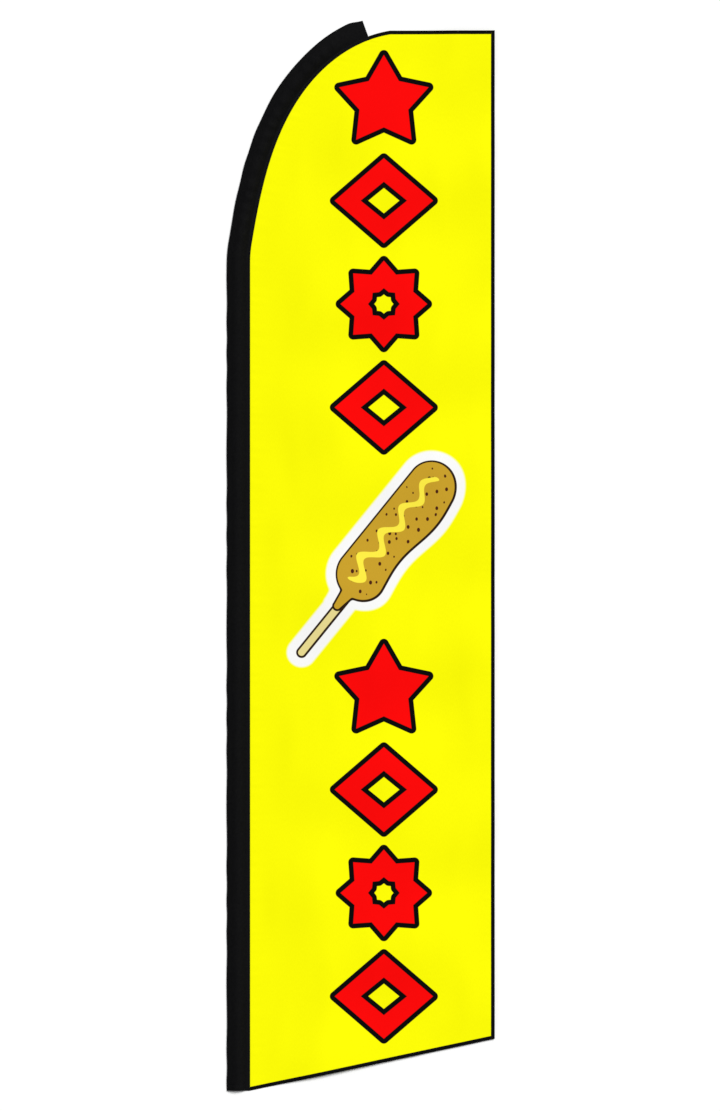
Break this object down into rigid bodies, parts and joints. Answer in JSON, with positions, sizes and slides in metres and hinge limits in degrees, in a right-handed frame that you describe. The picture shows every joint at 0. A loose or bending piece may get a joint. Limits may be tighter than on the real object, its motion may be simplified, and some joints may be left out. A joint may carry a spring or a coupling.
{
  "type": "feather banner flag",
  "caption": "Tall cloth feather banner lying flat with its printed face up: a panel with bound edges, and a curved sleeve down one side that takes a pole.",
  "frame": {"origin": "middle of the banner's outline, on the floor under it", "axes": "+X across the cloth from the pole sleeve to the free edge, +Y along it from the foot to the head, +Z out of the printed face"},
  "size_m": [0.877, 3.5044, 0.0165],
  "materials": {
    "printed_knit": "knitted polyester, dyed through",
    "oxford_cloth": "plain woven polyester",
    "binding_tape": "folded woven tape, stitched"
  },
  "bodies": {
    "root": {"panel": "printed_knit", "pole_sleeve": "oxford_cloth", "head_binding": "binding_tape", "fly_binding": "binding_tape", "foot_binding": "binding_tape"}
  },
  "joints": []
}
